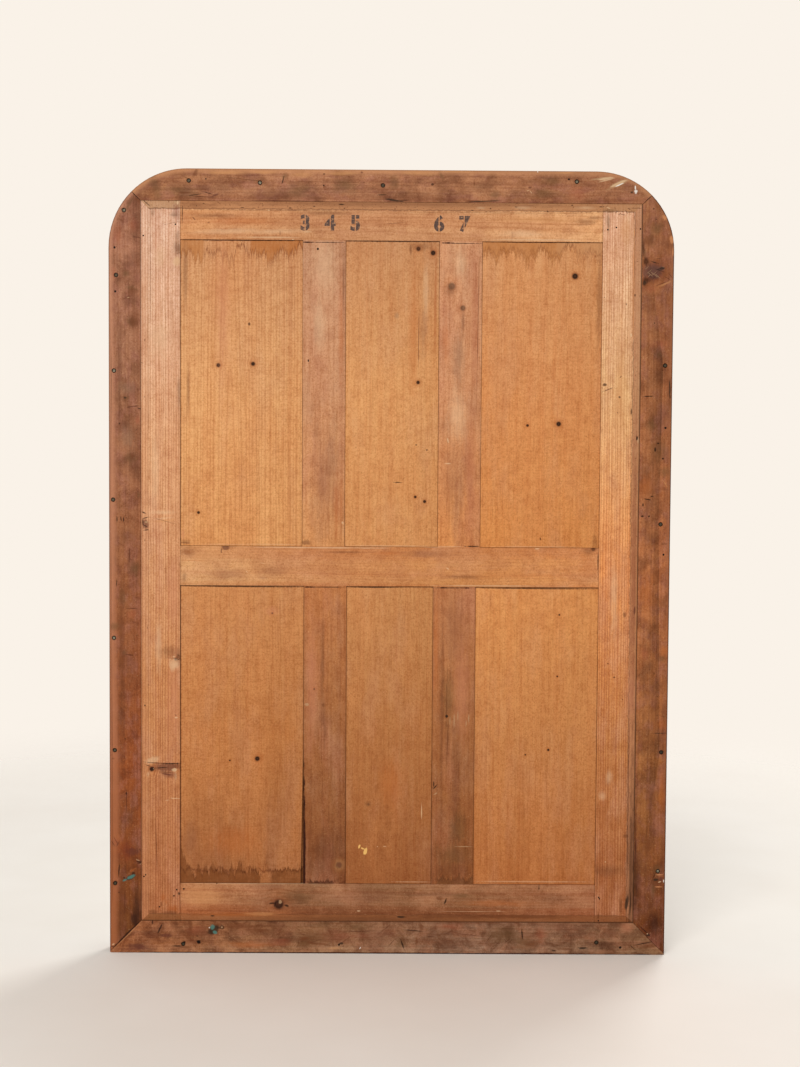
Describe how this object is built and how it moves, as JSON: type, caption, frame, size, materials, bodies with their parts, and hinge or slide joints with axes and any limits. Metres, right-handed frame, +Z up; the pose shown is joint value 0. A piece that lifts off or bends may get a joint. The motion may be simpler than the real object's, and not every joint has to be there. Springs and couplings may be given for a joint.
{
  "type": "framed mirror",
  "caption": "Tall framed mirror with rounded top corners: moulded oak front, softwood carcase, silvered plate and a flush frame-and-panel wooden back.",
  "frame": {"origin": "middle of the bottom edge, halfway through the depth, at the lowest point", "axes": "+Z up, -Y out of the glass and the oak front, +Y out of the wooden back, +X to the left as seen from behind"},
  "size_m": [1, 0.061, 1.398],
  "materials": {
    "stile_pine": "aged pale softwood, planed, straight grain",
    "rail_pine": "aged honey softwood, planed",
    "muntin_pine": "aged pinkish-brown softwood, planed",
    "panel_pine": "aged orange softwood with fine saw marks",
    "carcase_pine": "stained reddish-brown softwood, handled and dusty",
    "block_pine": "raw softwood",
    "carved_oak": "waxed brown oak",
    "silvered_glass": "silvered mirror plate",
    "iron": "dull oxidised iron"
  },
  "bodies": {
    "root": {"left_stile": "stile_pine", "right_stile": "stile_pine", "top_rail": "rail_pine", "middle_rail": "rail_pine", "bottom_rail": "rail_pine", "upper_left_muntin": "muntin_pine", "upper_right_muntin": "muntin_pine", "lower_left_muntin": "muntin_pine", "lower_right_muntin": "muntin_pine", "upper_left_panel": "panel_pine", "upper_middle_panel": "panel_pine", "upper_right_panel": "panel_pine", "lower_left_panel": "panel_pine", "lower_middle_panel": "panel_pine", "lower_right_panel": "panel_pine", "tenon_brads": "iron", "backboard_brads": "iron", "carcase_top": "carcase_pine", "carcase_bottom": "carcase_pine", "carcase_left": "carcase_pine", "carcase_right": "carcase_pine", "mitre_tongues": "block_pine", "oak_top": "carved_oak", "oak_bottom": "carved_oak", "oak_left": "carved_oak", "oak_right": "carved_oak", "oak_left_corner": "carved_oak", "oak_right_corner": "carved_oak", "slip_top": "carved_oak", "slip_bottom": "carved_oak", "slip_left": "carved_oak", "slip_right": "carved_oak", "slip_left_corner": "carved_oak", "slip_right_corner": "carved_oak", "mirror_plate": "silvered_glass", "glass_blocks": "block_pine", "seat_blocks": "block_pine", "frame_screws": "iron"}
  },
  "joints": []
}
